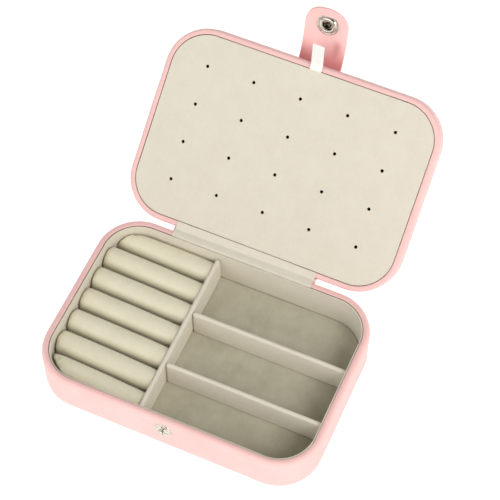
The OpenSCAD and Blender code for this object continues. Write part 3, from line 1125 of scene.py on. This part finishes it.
def add_spline(curve, points):
    """Adds a closed outline to a flat curve."""
    spline = curve.splines.new("POLY")
    spline.points.add(len(points) - 1)
    for target, (x, y) in zip(spline.points, points):
        target.co = (x * MM, y * MM, 0, 1)
    spline.use_cyclic_u = True


def panel_velvet():
    """Velvet-covered face with soft edges, pierced by the grid of earring holes."""
    low, high = node_box("earring_panel", LID)
    spread = 0.28
    inset = CASE_W / 2 - high.x - spread
    edge = 0.3
    thickness = 0.8
    curve = bpy.data.curves.new("panel_velvet", "CURVE")
    curve.dimensions = "2D"
    curve.fill_mode = "BOTH"
    curve.bevel_depth = edge * MM
    curve.bevel_resolution = 3
    curve.extrude = (thickness / 2 - edge) * MM
    add_spline(curve, case_outline(inset + edge))
    for i in range(HOLE_COLUMNS):
        for j in range(HOLE_ROWS):
            x = HOLE_MIDDLE[0] + (i - (HOLE_COLUMNS - 1) / 2) * HOLE_DX
            y = HOLE_MIDDLE[1] + (j - (HOLE_ROWS - 1) / 2) * HOLE_DY
            r = HOLE_D / 2 + edge
            turns = [2 * math.pi * k / 20 for k in range(20)]
            add_spline(curve, [(x + r * math.cos(a), y + r * math.sin(a)) for a in turns])
    maker = add_object("panel_maker", curve)
    mesh = made_mesh(maker)
    bpy.data.objects.remove(maker)
    obj = add_object("panel_velvet", mesh)
    lift = Matrix.Translation((0, 0, (low.z + thickness / 2) * MM))
    metres = LID.copy()
    metres.translation = LID.translation * MM
    mesh.transform(metres @ lift)
    largest_edge_face = 2e-6
    for polygon in mesh.polygons:
        polygon.use_smooth = polygon.area < largest_edge_face
    finish_piece(obj, VELVET, "panel", "earring_panel")


def panel_hinge_tape():
    """Fabric tape that the panel swings on."""
    low, high = node_box("panel_tape", LID)
    size = high - low
    outline = rounded_rect(size.x, size.y, (0.5,) * 4, step=2, corner_steps=3)
    place = LID @ Matrix.Translation((low + high) / 2)
    obj = plate("panel_hinge_tape", outline, 0.25, 0.1, place=place)
    fold = Vector(joint("panel_open")["pos_m"]) / MM
    forward = LID.to_3x3() @ Vector((0, -1, 0))
    ends = (fold - forward * 0.6, fold + forward * 1.4)
    finish_blend(obj, FLOOR_VELVET, ("lid", "panel"), *ends, "panel_tape")


RIBBON_W = 7
RIBBON_T = 0.3


def ribbon_tab():
    """White satin tab: it comes out of the seam, lies over the rim and lifts off it."""
    root = Vector(joint("ribbon_fold")["pos_m"]) / MM
    v0 = -(LID.inverted() @ root).y
    corners = [(v0 - 0.1, 0.9, 0), (v0, -0.35, 0.5), (v0 + 3.8, -1.4, 6.0), (v0 + 14.4, -12.6, 0)]
    path = bent_path(corners)
    outline = rounded_rect(path.length, RIBBON_W, (0.3,) * 4, step=1.0, corner_steps=3)

    def carry(points):
        v, w = path.carry(points[:, 0] + path.length / 2, points[:, 2])
        return np.column_stack((root.x + points[:, 1], -v, w))

    obj = plate("ribbon_tab", outline, RIBBON_T, 0.12, carry=carry, place=LID)
    waver(obj, 0.12, 6, 8)
    out = LID.to_3x3() @ Vector((0, -0.6, -0.8)).normalized()
    ends = (root - out * 0.3, root + out * 0.8)
    finish_blend(obj, SATIN, ("panel", "ribbon"), *ends, "pull_ribbon")


# ---------- closure ----------

STRAP_R = SNAP_CHORD / 2 / math.sin(STRAP_TURN)
STRAP_TIP = SNAP_CHORD + STRAP_W / 2 - 1.5
STRAP_LEAN = 0.0015
LAYER_T = STRAP_LAYER - 0.05
BARREL_R = 3.2
TIP_TURN = math.radians(14)
FOLD_BLEND_BEFORE = 0.6
FOLD_BLEND_AFTER = 1.6


def strap_path(root_length):
    """The strap's middle surface in its own plane: flat on the lid, an even bend up to the snap and
    a tighter one at the tip."""
    steps = 24
    step = STRAP_TIP / steps
    turn = STRAP_TIP / STRAP_R
    place = np.array((0.0, 0.0))
    points = [np.array((-root_length, 0.0)), place]
    for k in range(1, steps + 1):
        beyond = max(0.0, k / steps * STRAP_TIP - SNAP_CHORD) / (STRAP_TIP - SNAP_CHORD)
        tilt = CHORD_OPEN - STRAP_TURN + turn * (k - 0.5) / steps + TIP_TURN * beyond
        place = place + step * np.array((math.cos(tilt), -math.sin(tilt)))
        points.append(place)
    return Path(refine(points, 1.0, closed=False))


def bored(obj, place, radius):
    """Cuts a round hole along the Z axis of place."""
    tool = lathe("bore", [(0, -6), (radius, -6), (radius, 6), (0, 6)], place, steps=48)
    modifier = obj.modifiers.new("bore", "BOOLEAN")
    modifier.operation = "DIFFERENCE"
    modifier.solver = "EXACT"
    modifier.object = tool
    apply_modifiers(obj)
    bpy.data.objects.remove(tool)


def strap_piece(name, root_length, offset, shade_amount):
    """One layer of the strap, its tip round and bored for the snap, with painted shade darkest at
    the fold and in a soft streak right of its middle."""
    path = strap_path(root_length)
    length = path.length
    root_r = 4
    tip_r = STRAP_W / 2 - 0.6
    radii = (tip_r, root_r, root_r, tip_r)
    outline = rounded_rect(length, STRAP_W, radii, step=1.2, corner_steps=16)

    def carry(points):
        along = points[:, 0] + length / 2
        free = np.maximum(along - root_length, 0)
        turned = along + points[:, 1] * 2 * STRAP_LEAN * free
        v, w = path.carry(turned, points[:, 2] + offset)
        return np.column_stack((points[:, 1] - STRAP_LEAN * free**2, -v, w))

    fractions = tuple(k / 14 for k in range(14)) + (0.97,)
    obj = plate(name, outline, LAYER_T, LAYER_T * 0.4, carry, STRAP, fractions)
    bored(obj, SNAP, BARREL_R + 0.1)
    points = points_of(obj, STRAP)
    along = np.hypot(points[:, 1], points[:, 2]) * np.sign(-points[:, 1])
    # Painted shade: darkest at the fold, and a soft streak right of the middle that stands in for a
    # crease's shade.
    near_fold = 1 - smooth(along, 1, 17)
    crease_x, crease_w = 7.5, 2.4
    crease_shade = np.exp(-(((points[:, 0] - crease_x) / crease_w) ** 2))
    crease_shade *= smooth(along, 2, 10) * (1 - smooth(along, 13, 19))
    mark(obj, "painted_shade", shade_amount * (0.85 * near_fold + 0.75 * crease_shade * (1 - near_fold)))
    return obj


def strap_blend():
    """The two points between which the strap bends at its fold."""
    into_strap = STRAP.to_3x3() @ Vector((0, -1, 0))
    fold = STRAP.translation
    return fold - into_strap * FOLD_BLEND_BEFORE, fold + into_strap * FOLD_BLEND_AFTER


def closure_strap():
    """Both layers of the strap. The outer one also covers what is glued to the lid."""
    root = node_box("strap_root", STRAP)[1].y
    # The last argument sets how strongly each layer takes painted shade.
    outer = strap_piece("strap_outer", root, STRAP_LAYER / 2, 0.15)
    finish_blend(outer, PINK, ("lid", "strap"), *strap_blend(), "closure_strap", "strap_root")
    inner = strap_piece("strap_inner", root, -STRAP_LAYER / 2, 1)
    finish_blend(inner, LINING_PINK, ("lid", "strap"), *strap_blend(), "strap_lining")


def snap_socket():
    """Thin flange, a groove, a dome round the mouth and a split spring ring inside it."""
    low, high = node_box("snap_socket", SNAP)
    r = (high.x - low.x) / 2
    z0, z1 = STRAP_LAYER + 0.02, high.z
    corners = [
        (r + 0.35, z0, 0.1),
        (r + 0.3, z0 + 0.6, 0.25),
        (r - 0.3, z0 + 0.65, 0.25),
        (r - 0.8, z0 + 0.3, 0.25),
        (4.6, z1 + 0.05, 1.2),
        (3.2, z1 - 0.1, 0.6),
        (2.8, z1 - 1.0, 0.3),
        (2.75, z0, 0.1),
    ]
    profile = fillet(corners)
    finish_piece(lathe("socket_ring", profile, SNAP), NICKEL, "strap", "snap_socket")
    socket_spring(z0 + 0.3)


def socket_spring(height):
    """Split ring of round wire in the socket's mouth."""
    ring_r, wire_r = 2.45, 0.27
    gap = math.radians(150)
    gap_middle = math.radians(-120)
    turns, sides = 36, 10
    points = []
    for k in range(turns + 1):
        a = gap_middle + gap / 2 + (2 * math.pi - gap) * k / turns
        for j in range(sides):
            b = 2 * math.pi * j / sides
            r = ring_r + wire_r * math.cos(b)
            points.append((r * math.cos(a), r * math.sin(a), height + wire_r * math.sin(b)))
    obj = add_mesh("socket_spring", points, rod_faces(turns + 1, sides), SNAP)
    finish_piece(obj, NICKEL, "strap")


def snap_cap():
    """Domed cap on the strap's outside, with the barrel that holds the socket. A dark sheet inside
    the barrel is painted shade."""
    low, high = node_box("snap_cap", SNAP)
    r = (high.x - low.x) / 2
    bore = BARREL_R - 0.4
    brim = low.z + 1.0
    face = low.z + 0.95
    corners = [
        (0, low.z, 0),
        (r - 2.2, low.z + 0.05, 2.0),
        (r, low.z + 0.8, 0.3),
        (r, brim, 0.1),
        (BARREL_R, brim, 0.1),
        (BARREL_R, high.z, 0.1),
        (bore, high.z, 0.1),
        (bore, face, 0.1),
        (0, face, 0),
    ]
    profile = fillet(corners, closed=False)
    finish_piece(lathe("cap_dome", profile, SNAP), NICKEL, "strap", "snap_cap")
    # A thin dark sheet just inside the barrel's bore and face is painted shade.
    gap, depth, top = 0.02, 0.1, high.z - 0.1
    lining = [(0, face + gap), (bore - gap, face + gap), (bore - gap, top)]
    lining += [(bore - depth, top), (bore - depth, face + depth), (0, face + depth)]
    finish_piece(lathe("barrel_shade", lining, SNAP), SHADE_NICKEL, "strap")


def snap_stud():
    """Flange with a raised ring, a neck and a round head, on a shank through the wall."""
    low, high = node_box("snap_stud")
    middle = (low + high) / 2
    place = matrix_of((middle.x, -CASE_D / 2, middle.z), (0, -1, 0))
    r = (high.x - low.x) / 2
    shank_r = 1.5
    out = -CASE_D / 2 - low.y
    back = high.y + CASE_D / 2
    corners = [
        (0, -back, 0),
        (shank_r, -back, 0.2),
        (shank_r, -0.02, 0.05),
        (r, -0.02, 0.05),
        (r - 0.1, 0.35, 0.2),
        (r - 1.0, 0.52, 0.4),
        (r - 1.9, 0.22, 0.4),
        (1.75, 0.3, 0.3),
        (1.45, out - 1.9, 0.4),
        (2.1, out - 1.0, 0.5),
        (1.5, out, 0.9),
        (0, out, 0),
    ]
    profile = fillet(corners, closed=False)
    finish_piece(lathe("stud", profile, place), NICKEL, "base", "snap_stud")


# ---------- the case ----------


def build_base():
    base_leather()
    base_underside()
    liner_band()
    floor_velvet()
    for n in range(1, ROLL_COUNT + 1):
        ring_roll(n)
    divider("divider_long", "long_divider", "base", True, (3, 1))
    divider("divider_rear", "cross_divider_rear", "divider_rear", False, (0.6, 1.8))
    divider("divider_front", "cross_divider_front", "divider_front", False, (0.6, 1.8))
    snap_stud()


def build_lid():
    hinge_web()
    hinge_velvet()
    lid_leather()
    lid_velvet()
    panel_velvet()
    panel_hinge_tape()
    ribbon_tab()
    closure_strap()
    snap_socket()
    snap_cap()


def repaint_kept_nodes():
    """The CAD nodes that stay, mostly inside, get their real materials."""
    kept = {
        BOARD: ("base_floor", "base_wall", "lid_top", "lid_wall", "panel_board"),
        FOAM: ("ring_block", "lid_pad"),
        FLOOR_VELVET: ("ring_card",),
        NICKEL: ("stud_backing",),
    }
    for material, nodes in kept.items():
        for node in nodes:
            paint(frame["nodes"][node], material)


build_base()
build_lid()
repaint_kept_nodes()
